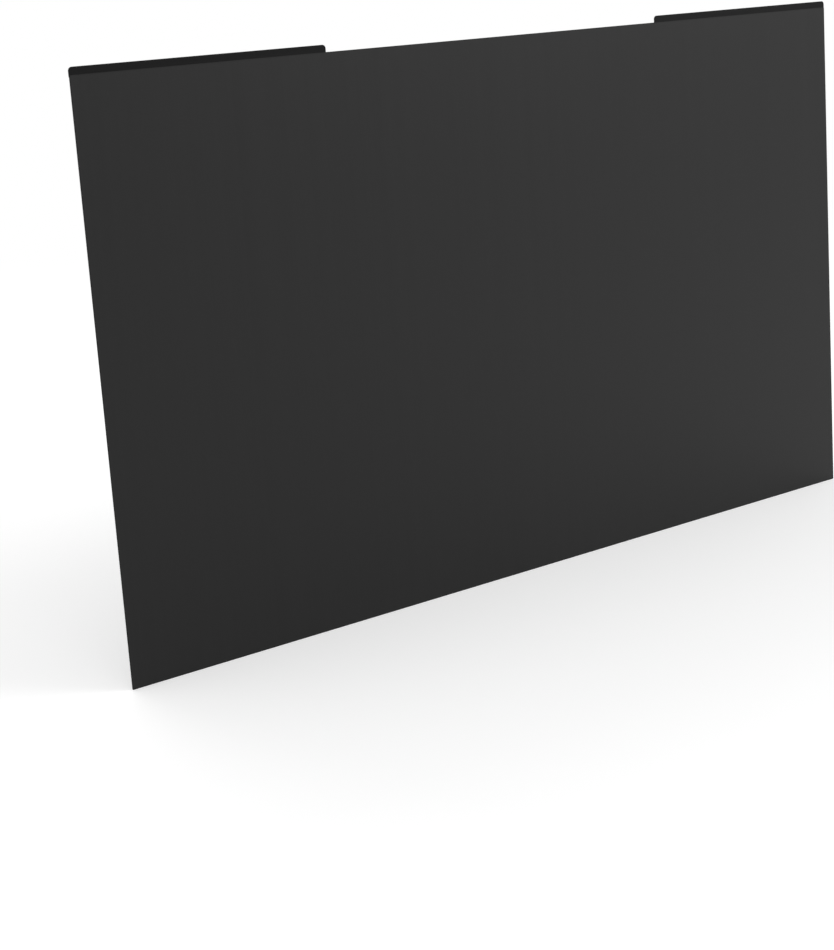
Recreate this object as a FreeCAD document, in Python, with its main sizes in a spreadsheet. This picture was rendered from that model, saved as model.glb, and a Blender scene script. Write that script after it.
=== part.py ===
"""Privacy filter for a 27-inch 16:9 display: a louvre film hung from two slim magnet strips.

Millimetres. The origin is at mid-width, in the plane of the magnet faces, level with the film's top edge.
+X runs to the viewer's right, +Y away from the viewer and +Z up, so the film hangs down from Z = 0.
"""

import FreeCAD, Part

import os

import Sketcher

# Driving dimensions in millimetres
SIZES = {
    "film_width": 598.0,
    "film_height": 337.0,
    "film_thickness": 0.5,
    "film_corner_radius": 0.5,
    "strip_length": 166.5,
    "strip_rise": 4.2,
    "strip_lap": 2.7,
    "strip_flange_thickness": 0.5,
    "strip_corner_radius": 2.2,
    "strip_edge_round": 0.3,
    "seat_gap": 0.05,
    "tape_thickness": 0.1,
    "tape_margin": 0.5,
}

LEFT = -1
RIGHT = 1
NEAR = 1e-6

# A sketch's own origin, as its constraints name it
ORIGIN = (-1, 1)

doc = FreeCAD.newDocument("privacy_filter")


def start_of(line):
    return (line, 1)


def end_of(line):
    return (line, 2)


def add_size_sheet():
    """Puts each driving dimension in a cell of its own, under its name."""
    sheet = doc.addObject("Spreadsheet::Sheet", "sizes")
    for row, (name, value) in enumerate(SIZES.items(), start=1):
        sheet.set(f"A{row}", name)
        sheet.set(f"B{row}", str(value))
        sheet.setAlias(f"B{row}", name)
    doc.recompute()


def add_body(name, x, y, z):
    """A body whose own origin sits at the given expressions."""
    body = doc.addObject("PartDesign::Body", name)
    body.Label = name
    for axis, place in zip("xyz", (x, y, z)):
        body.setExpression(f"Placement.Base.{axis}", place)
    return body


def draw_outline(body, plane_role, corners, first_corner, distances):
    """A closed outline of upright and level lines on one of the body's origin planes.

    corners only say how the lines turn. first_corner is Horizontal or Vertical, the way the first corner
    lines up with the origin. distances gives the sizes: a label, a kind, the two points measured between
    and the expression.
    """
    plane = next(item for item in body.Origin.OriginFeatures if item.Role == plane_role)
    sketch = body.newObject("Sketcher::SketchObject", f"{body.Name}_outline")
    sketch.AttachmentSupport = (plane, [""])
    sketch.MapMode = "FlatFace"

    points = [FreeCAD.Vector(x, y, 0) for x, y in corners]
    count = len(points)
    for line in range(count):
        start, end = points[line], points[(line + 1) % count]
        sketch.addGeometry(Part.LineSegment(start, end), False)
        direction = "Horizontal" if abs(start.y - end.y) < NEAR else "Vertical"
        sketch.addConstraint(Sketcher.Constraint(direction, line))
    for line in range(count):
        joint = end_of(line) + start_of((line + 1) % count)
        sketch.addConstraint(Sketcher.Constraint("Coincident", *joint))
    sketch.addConstraint(Sketcher.Constraint(first_corner, *start_of(0), *ORIGIN))

    for label, kind, lower, upper, size in distances:
        index = sketch.addConstraint(Sketcher.Constraint(kind, *lower, *upper, 1.0))
        sketch.renameConstraint(index, label)
        sketch.setExpression(f"Constraints.{label}", size)
    return sketch


def draw_hanging_rectangle(body, width, drop):
    """An upright rectangle, centred on the body's Z axis, that hangs from its X axis."""
    top, right = 0, 1
    return draw_outline(
        body,
        "XZ_Plane",
        [(-1, 0), (1, 0), (1, -1), (-1, -1)],
        "Horizontal",
        [
            ("width", "DistanceX", start_of(top), end_of(top), width),
            ("half_width", "DistanceX", ORIGIN, end_of(top), f"({width}) / 2"),
            ("drop", "DistanceY", end_of(right), start_of(right), drop),
        ],
    )


def draw_step_profile(body):
    """A strip's section: a thick head above the film's top edge and a thin flange behind its margin."""
    top, front, shoulder, flange_front, foot = range(5)
    head_thickness = f"{FILM_BACK} + sizes.film_thickness"
    return draw_outline(
        body,
        "YZ_Plane",
        [(0, 2), (-2, 2), (-2, 1), (-1, 1), (-1, -1), (0, -1)],
        "Vertical",
        [
            ("rise", "DistanceY", ORIGIN, start_of(top), "sizes.strip_rise"),
            ("head_thickness", "DistanceX", end_of(top), start_of(top), head_thickness),
            ("seat", "DistanceY", ORIGIN, end_of(front), "sizes.seat_gap"),
            ("flange_thickness", "DistanceX", start_of(foot), end_of(foot), "sizes.strip_flange_thickness"),
            ("lap", "DistanceY", end_of(flange_front), ORIGIN, "sizes.strip_lap"),
        ],
    )


def add_pad(body, sketch, thickness, both_ways=False):
    """Thickens an outline to one side, or by half to each side."""
    pad = body.newObject("PartDesign::Pad", f"{body.Name}_pad")
    pad.Profile = sketch
    pad.SideType = "Symmetric" if both_ways else "One side"
    pad.setExpression("Length", thickness)
    doc.recompute()
    return pad


def round_edges(body, base, name, edges, radius):
    """Rounds some edges of the base feature."""
    names = [
        f"Edge{number}"
        for number, edge in enumerate(base.Shape.Edges, start=1)
        if any(edge.isSame(chosen) for chosen in edges)
    ]
    fillet = body.newObject("PartDesign::Fillet", f"{body.Name}_{name}")
    fillet.Base = (base, names)
    fillet.setExpression("Radius", radius)
    doc.recompute()
    return fillet


def outline_corners(shape):
    """The edges that run straight forward from the corners of the back face."""
    back_corners = [vertex for vertex in shape.Vertexes if abs(vertex.Point.y) < NEAR]
    return [
        edge
        for edge in shape.Edges
        if edge.BoundBox.YLength > NEAR
        and any(vertex.isSame(corner) for vertex in edge.Vertexes for corner in back_corners)
    ]


def strip_rim(shape):
    """The outlines of a strip's back and front faces, without the front edge that meets the film."""
    back = max(shape.Faces, key=lambda face: face.CenterOfMass.y)
    front = min(shape.Faces, key=lambda face: face.CenterOfMass.y)
    seam = min(front.Edges, key=lambda edge: edge.CenterOfMass.z)
    return back.Edges + [edge for edge in front.Edges if not edge.isSame(seam)]


# The film's back lies this far in front of the magnet faces
FILM_BACK = "sizes.strip_flange_thickness + sizes.tape_thickness"


def build_film():
    """The film: a plain rectangle, its corners all but sharp."""
    body = add_body("filter_film", "0", f"-({FILM_BACK})", "0")
    sketch = draw_hanging_rectangle(body, "sizes.film_width", "sizes.film_height")
    pad = add_pad(body, sketch, "sizes.film_thickness")
    round_edges(body, pad, "corners", outline_corners(pad.Shape), "sizes.film_corner_radius")
    return body


def end_place(side):
    """The middle of a strip that ends flush with the film's side edge."""
    return f"{side} * (sizes.film_width - sizes.strip_length) / 2"


def build_strip(name, side):
    """A magnet strip: its head is flush with the film's front, its flange laps behind the top margin."""
    body = add_body(name, end_place(side), "0", "0")
    pad = add_pad(body, draw_step_profile(body), "sizes.strip_length", both_ways=True)
    corners = round_edges(body, pad, "corners", outline_corners(pad.Shape), "sizes.strip_corner_radius")
    round_edges(body, corners, "rim", strip_rim(corners.Shape), "sizes.strip_edge_round")
    return body


def build_tape(name, side):
    """Double-sided tape that bonds a flange to the film, clear of the lap's edges and rounded corners."""
    body = add_body(name, end_place(side), "-sizes.strip_flange_thickness", "-sizes.tape_margin")
    length = "sizes.strip_length - 2 * sizes.strip_corner_radius"
    height = "sizes.strip_lap - 2 * sizes.tape_margin"
    sketch = draw_hanging_rectangle(body, length, height)
    add_pad(body, sketch, "sizes.tape_thickness")
    return body


def check(pieces):
    """Stops the build if any feature failed or any piece isn't one sound solid."""
    for item in doc.Objects:
        if "Invalid" in item.State or "Error" in item.State:
            raise RuntimeError(f"{item.Name} failed: {item.State}")
    for piece in pieces:
        shape = piece.Shape
        if shape.isNull() or not shape.isValid() or len(shape.Solids) != 1:
            raise RuntimeError(f"{piece.Label} is not one sound solid")


add_size_sheet()
pieces = [
    build_film(),
    build_strip("left_magnet_strip", LEFT),
    build_strip("right_magnet_strip", RIGHT),
    build_tape("left_bond_tape", LEFT),
    build_tape("right_bond_tape", RIGHT),
]
doc.recompute()
check(pieces)

os.makedirs("parts", exist_ok=True)
for piece in pieces:
    piece.Shape.exportStep(f"parts/{piece.Label}.step")
    print(f"{piece.Label}: {piece.Shape.Volume:.3f} mm3")
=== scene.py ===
import math

import bpy
from mathutils import Matrix, Vector


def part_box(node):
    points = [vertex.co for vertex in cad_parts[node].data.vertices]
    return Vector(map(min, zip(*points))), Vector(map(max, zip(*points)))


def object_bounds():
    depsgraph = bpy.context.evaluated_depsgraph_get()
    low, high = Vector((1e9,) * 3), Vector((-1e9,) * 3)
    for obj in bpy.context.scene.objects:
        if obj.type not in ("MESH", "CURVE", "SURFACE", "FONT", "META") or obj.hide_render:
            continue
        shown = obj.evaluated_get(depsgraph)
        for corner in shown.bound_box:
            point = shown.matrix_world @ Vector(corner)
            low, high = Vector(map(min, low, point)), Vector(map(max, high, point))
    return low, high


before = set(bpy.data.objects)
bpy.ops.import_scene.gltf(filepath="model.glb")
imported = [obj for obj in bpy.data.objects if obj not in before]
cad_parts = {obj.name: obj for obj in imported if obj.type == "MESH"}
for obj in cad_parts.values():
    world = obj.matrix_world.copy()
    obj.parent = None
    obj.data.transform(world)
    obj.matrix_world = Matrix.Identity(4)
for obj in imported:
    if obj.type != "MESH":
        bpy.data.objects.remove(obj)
cad_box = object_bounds()

# Camera: place and aim in metres, roll in degrees, and focal length in pixels of the 834 by 950 picture
PICTURE_HIGH = 950
CAMERA_PLACE = Vector((-0.8420, -0.9584, 0.0328))
CAMERA_AIM = Vector((-0.0878, -0.0011, -0.2563))
CAMERA_ROLL = -3.903
FOCAL_PIXELS = 2055.3
SENSOR_MM = 36.0
CLIP_START = 0.01

# Studio: the floor lies just under the film's lower edge and turns plain white away from it
FLOOR_DROP = 0.0002
FLOOR_SIZE = 60.0
FLOOR_COLOUR = (0.82, 0.82, 0.82, 1)
FLOOR_LIFT = 0.24
FLOOR_ROUGHNESS = 0.9
WHITE_FROM = 0.7
WHITE_AT = 2.0
WORLD_LIGHT = 0.7
WHITE = (1, 1, 1, 1)
BLACK = (0, 0, 0, 1)

# Lamps: disks, with places and sizes in metres
LAMPS = {
    "key": {"place": (-1.1, -1.7, 1.5), "size": 1.8, "watts": 10.0},
    "fill": {"place": (1.35, -1.45, 0.9), "size": 1.6, "watts": 18.0},
    "back": {"place": (0.3, 1.9, 1.4), "size": 1.8, "watts": 14.0},
}

# Film: shares of light and roughness, and the turn that takes its front's roughness to its back's
FILM_TONE = 0.006
FILM_SHINE = 0.25
FRONT_ROUGHNESS = 0.38
BACK_ROUGHNESS = 0.2
EDGE_ROUGHNESS = 0.6
FACE_TURN = (-0.5, 0.5)
STREAK_SPREAD = (0.88, 1.12)
BAND_SPREAD = (0.94, 1.06)
# the share of the film's tone left at its cut edges, as painted shade
RIM_PAINTED_SHADE = 0.1

# Film: sizes of its surface detail in metres
STREAK_WIDTH = 0.0009
BAND_WIDTH = 0.008
STREAK_LENGTH = 3.0
GRAIN_SIZE = 0.0003
GRAIN_DEPTH = 0.000008
# how far in from the outline the painted edge shade reaches
RIM_WIDTH = 0.0008

# Louvres: the share of a ray's direction across them that closes them, and what they let through open
LOUVRE_CUT_OFF = 0.43
LOUVRE_OPEN = 0.4

# Strips: matt black flexible magnet, with its bare side on the faces turned to the back
STRIP_BLACK = (0.002, 0.002, 0.0021, 1)
STRIP_BARE = (0.050, 0.044, 0.039, 1)
STRIP_SHINE = 0.12
STRIP_ROUGHNESS = (0.46, 0.62)
STRIP_MOTTLE = (0.6, 1.4)
BARE_FACING = (0.4, 0.9)

# Strips: sizes of their surface detail in metres
STRIP_GRAIN = 0.0004
STRIP_GRAIN_DEPTH = 0.00002
ROLL_MARK_WIDTH = 0.0003
ROLL_MARK_LENGTH = 0.03

# Tape: black and soft, with cells as fine as the strips' grain
TAPE_BLACK = (0.024, 0.024, 0.024, 1)
TAPE_ROUGHNESS = (0.7, 0.9)
TAPE_MOTTLE = (0.75, 1.25)

# Noise: the range that holds most of it, and how many finer layers it has
NOISE_RANGE = (0.25, 0.75)
NOISE_DETAIL = 2.0
STRIP_GRAIN_DETAIL = 3.0

# The range of a share, and the blend that leaves a layer weight's facing linear
UNIT = (0.0, 1.0)
LINEAR_BLEND = 0.5


class Tree:
    """A material's node tree, with short ways to add and join nodes."""

    def __init__(self, name):
        self.material = bpy.data.materials.new(name)
        self.material.use_nodes = True
        self.nodes = self.material.node_tree.nodes
        self.links = self.material.node_tree.links
        self.shader = self.nodes["Principled BSDF"]

    def add(self, kind, **settings):
        """A new node with the given settings."""
        node = self.nodes.new(kind)
        for name, value in settings.items():
            setattr(node, name, value)
        return node

    def feed(self, socket, value):
        """Joins another node's output to a socket, or sets the socket to a constant."""
        if isinstance(value, bpy.types.NodeSocket):
            self.links.new(value, socket)
        else:
            socket.default_value = value

    def surface(self, name, value):
        """Feeds one of the shader's own inputs."""
        self.feed(self.shader.inputs[name], value)

    def math(self, operation, *values):
        """The result of one operation on numbers."""
        node = self.add("ShaderNodeMath", operation=operation)
        for socket, value in zip(node.inputs, values):
            self.feed(socket, value)
        return node.outputs[0]

    def span(self, value, start, end, smooth=False):
        """Turns the range start (a low and a high) of a value into the range end, held at its limits."""
        node = self.add("ShaderNodeMapRange")
        if smooth:
            node.interpolation_type = "SMOOTHSTEP"
        self.feed(node.inputs["Value"], value)
        for name, number in zip(("From Min", "From Max", "To Min", "To Max"), start + end):
            self.feed(node.inputs[name], number)
        return node.outputs["Result"]

    def blend(self, share, first, second):
        """A colour that goes from the first to the second as the share grows."""
        node = self.add("ShaderNodeMix", data_type="RGBA")
        self.feed(node.inputs["Factor"], share)
        self.feed(node.inputs["A"], first)
        self.feed(node.inputs["B"], second)
        return node.outputs["Result"]

    def mottled(self, share, colour, spread):
        """A colour that varies between two shades of itself."""
        darker, lighter = ([part * shade for part in colour[:3]] + [1] for shade in spread)
        return self.blend(share, darker, lighter)

    def grey(self, share):
        """A grey that is the given share of white."""
        node = self.add("ShaderNodeCombineColor")
        for name in ("Red", "Green", "Blue"):
            self.feed(node.inputs[name], share)
        return node.outputs["Color"]

    def place(self):
        """The point on the piece, in metres."""
        return self.add("ShaderNodeTexCoord").outputs["Object"]

    def parts(self, vector):
        """The X, Y and Z of a vector."""
        node = self.add("ShaderNodeSeparateXYZ")
        self.feed(node.inputs[0], vector)
        return node.outputs

    def noise(self, size, detail=NOISE_DETAIL):
        """A noise, 0 to 1, whose features have the given size along X, Y and Z."""
        mapping = self.add("ShaderNodeMapping")
        self.feed(mapping.inputs["Vector"], self.place())
        self.feed(mapping.inputs["Scale"], [1 / length for length in size])
        node = self.add("ShaderNodeTexNoise")
        self.feed(node.inputs["Vector"], mapping.outputs["Vector"])
        self.feed(node.inputs["Scale"], 1.0)
        self.feed(node.inputs["Detail"], detail)
        return self.span(node.outputs["Fac"], NOISE_RANGE, UNIT)

    def facing_back(self):
        """The Y part of the surface's direction: -1 at the front, 1 at the back and 0 on the edges."""
        return self.parts(self.add("ShaderNodeNewGeometry").outputs["Normal"])["Y"]

    def bump(self, height, depth):
        """A relief on the surface, depth metres deep where the height goes from 0 to 1."""
        node = self.add("ShaderNodeBump")
        self.feed(node.inputs["Distance"], depth)
        self.feed(node.inputs["Height"], height)
        self.surface("Normal", node.outputs["Normal"])


def edge_distance(tree, low, high):
    """How far a point of the film is from the nearest side of its outline."""
    place = tree.parts(tree.place())
    nearest = tree.math("SUBTRACT", high[0], tree.math("ABSOLUTE", place["X"]))
    for gap in (tree.math("SUBTRACT", high[2], place["Z"]), tree.math("SUBTRACT", place["Z"], low[2])):
        nearest = tree.math("MINIMUM", nearest, gap)
    return nearest


def louvre_gap(tree):
    """How open the upright louvres are to a ray: 1 straight along them, 0 past their closing angle."""
    across = tree.add("ShaderNodeLayerWeight")
    tree.feed(across.inputs["Blend"], LINEAR_BLEND)
    louvre_side = tree.add("ShaderNodeCombineXYZ")
    tree.feed(louvre_side.inputs["X"], 1.0)
    tree.feed(across.inputs["Normal"], louvre_side.outputs["Vector"])
    return tree.span(across.outputs["Facing"], (1 - LOUVRE_CUT_OFF, 1.0), UNIT, smooth=True)


def film_material():
    """Louvre film: matt in front, glossier behind, with painted shade along its cut edges, clear only
    along its louvres.
    """
    tree = Tree("louvre_film")
    back = tree.facing_back()
    flat = tree.math("ABSOLUTE", back)
    streaks = tree.noise((STREAK_WIDTH, STREAK_WIDTH, STREAK_LENGTH))
    bands = tree.noise((BAND_WIDTH, BAND_WIDTH, STREAK_LENGTH))
    fine = tree.span(streaks, UNIT, STREAK_SPREAD)
    broad = tree.span(bands, UNIT, BAND_SPREAD)
    unevenness = tree.math("MULTIPLY", fine, broad)

    # Painted shade: the base colour darkens in a narrow rim along the film's cut edges
    painted_rim_shade = tree.span(edge_distance(tree, *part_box("filter_film")), (0.0, RIM_WIDTH), (RIM_PAINTED_SHADE, 1.0))
    tone = tree.math("MULTIPLY", tree.math("MULTIPLY", unevenness, painted_rim_shade), FILM_TONE)
    tree.surface("Base Color", tree.grey(tone))
    tree.surface("Specular IOR Level", FILM_SHINE)

    side = tree.span(back, FACE_TURN, (FRONT_ROUGHNESS, BACK_ROUGHNESS))
    face = tree.math("MULTIPLY", side, unevenness)
    edge = tree.span(flat, UNIT, (EDGE_ROUGHNESS, 0.0))
    tree.surface("Roughness", tree.math("MULTIPLY_ADD", face, flat, edge))
    tree.bump(tree.noise([GRAIN_SIZE] * 3), GRAIN_DEPTH)

    clear = tree.math("MULTIPLY", tree.math("MULTIPLY", louvre_gap(tree), flat), LOUVRE_OPEN)
    tree.surface("Alpha", tree.math("SUBTRACT", 1.0, clear))
    return tree.material


def strip_material():
    """Flexible magnet: fine-grained matt black in front, bare and browner behind, with rolling marks."""
    tree = Tree("magnet_strip")
    grain = tree.noise([STRIP_GRAIN] * 3, STRIP_GRAIN_DETAIL)
    marks = tree.noise((ROLL_MARK_LENGTH, ROLL_MARK_WIDTH, ROLL_MARK_WIDTH))
    front = tree.mottled(grain, STRIP_BLACK, STRIP_MOTTLE)
    back = tree.mottled(marks, STRIP_BARE, STRIP_MOTTLE)
    bare = tree.span(tree.facing_back(), BARE_FACING, UNIT)
    tree.surface("Base Color", tree.blend(bare, front, back))
    tree.surface("Roughness", tree.span(marks, UNIT, STRIP_ROUGHNESS))
    tree.surface("Specular IOR Level", STRIP_SHINE)
    tree.bump(tree.math("ADD", grain, marks), STRIP_GRAIN_DEPTH)
    return tree.material


def tape_material():
    """Black double-sided tape, seen only at its edges."""
    tree = Tree("bond_tape")
    cells = tree.noise([STRIP_GRAIN] * 3)
    tree.surface("Base Color", tree.mottled(cells, TAPE_BLACK, TAPE_MOTTLE))
    tree.surface("Roughness", tree.span(cells, UNIT, TAPE_ROUGHNESS))
    return tree.material


def dress(names, material):
    """Gives CAD nodes their finish."""
    for name in names:
        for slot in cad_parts[name].material_slots:
            slot.material = material


def seen_share(nodes, links):
    """1 for rays that show the studio, straight or in a gloss or through the film, 0 for its light."""
    path = nodes.new("ShaderNodeLightPath")
    seen = path.outputs["Is Camera Ray"]
    for name in ("Is Glossy Ray", "Is Transmission Ray"):
        either = nodes.new("ShaderNodeMath")
        either.operation = "MAXIMUM"
        links.new(seen, either.inputs[0])
        links.new(path.outputs[name], either.inputs[1])
        seen = either.outputs[0]
    return seen


def add_world():
    """An even white room that lights softly."""
    world = bpy.data.worlds.new("studio")
    bpy.context.scene.world = world
    world.use_nodes = True
    nodes = world.node_tree.nodes
    links = world.node_tree.links
    strength = nodes.new("ShaderNodeMapRange")
    links.new(seen_share(nodes, links), strength.inputs["Value"])
    strength.inputs["To Min"].default_value = WORLD_LIGHT
    strength.inputs["To Max"].default_value = 1.0
    background = nodes["Background"]
    background.inputs["Color"].default_value = WHITE
    links.new(strength.outputs["Result"], background.inputs["Strength"])


def floor_material():
    """A pale floor that keeps the shadow near the film and is plain white away from it."""
    tree = Tree("floor")
    distance = tree.add("ShaderNodeVectorMath", operation="LENGTH")
    tree.feed(distance.inputs[0], tree.place())
    seen = seen_share(tree.nodes, tree.links)
    white = tree.span(distance.outputs["Value"], (WHITE_FROM, WHITE_AT), UNIT, smooth=True)
    tree.surface("Base Color", tree.blend(tree.math("MULTIPLY", white, seen), FLOOR_COLOUR, BLACK))
    tree.surface("Roughness", FLOOR_ROUGHNESS)
    tree.surface("Specular IOR Level", 0.0)
    tree.surface("Emission Color", WHITE)
    glow = tree.math("MULTIPLY", tree.span(white, UNIT, (FLOOR_LIFT, 1.0)), seen)
    tree.surface("Emission Strength", glow)
    return tree.material


def add_floor():
    """The studio floor, a stage piece."""
    low = cad_box[0]
    bpy.ops.mesh.primitive_plane_add(size=FLOOR_SIZE, location=(0, 0, low[2] - FLOOR_DROP))
    floor = bpy.context.object
    floor.name = "floor"
    floor.data.materials.append(floor_material())


def aimed(place, aim, roll=0.0):
    """The matrix of a camera or lamp that looks from place to aim."""
    turn = (aim - place).to_track_quat("-Z", "Y").to_matrix().to_4x4()
    return Matrix.Translation(place) @ turn @ Matrix.Rotation(math.radians(roll), 4, "Z")


def add_lamps():
    """Soft lamps that look at the middle of the part."""
    low, high = (Vector(corner) for corner in cad_box)
    middle = (low + high) / 2
    for name, lamp in LAMPS.items():
        data = bpy.data.lights.new(name, "AREA")
        data.shape = "DISK"
        data.size = lamp["size"]
        data.energy = lamp["watts"]
        item = bpy.data.objects.new(name, data)
        bpy.context.collection.objects.link(item)
        item.matrix_world = aimed(Vector(lamp["place"]), middle)


def add_camera():
    """The camera, at the photograph's viewing angle."""
    data = bpy.data.cameras.new("camera")
    data.sensor_width = SENSOR_MM
    data.lens = FOCAL_PIXELS / PICTURE_HIGH * SENSOR_MM
    data.clip_start = CLIP_START
    camera = bpy.data.objects.new("camera", data)
    bpy.context.collection.objects.link(camera)
    camera.matrix_world = aimed(CAMERA_PLACE, CAMERA_AIM, CAMERA_ROLL)
    bpy.context.scene.camera = camera


dress(["filter_film"], film_material())
dress(["left_magnet_strip", "right_magnet_strip"], strip_material())
dress(["left_bond_tape", "right_bond_tape"], tape_material())
add_world()
add_floor()
add_lamps()
add_camera()
bpy.context.scene.view_settings.view_transform = "Standard"
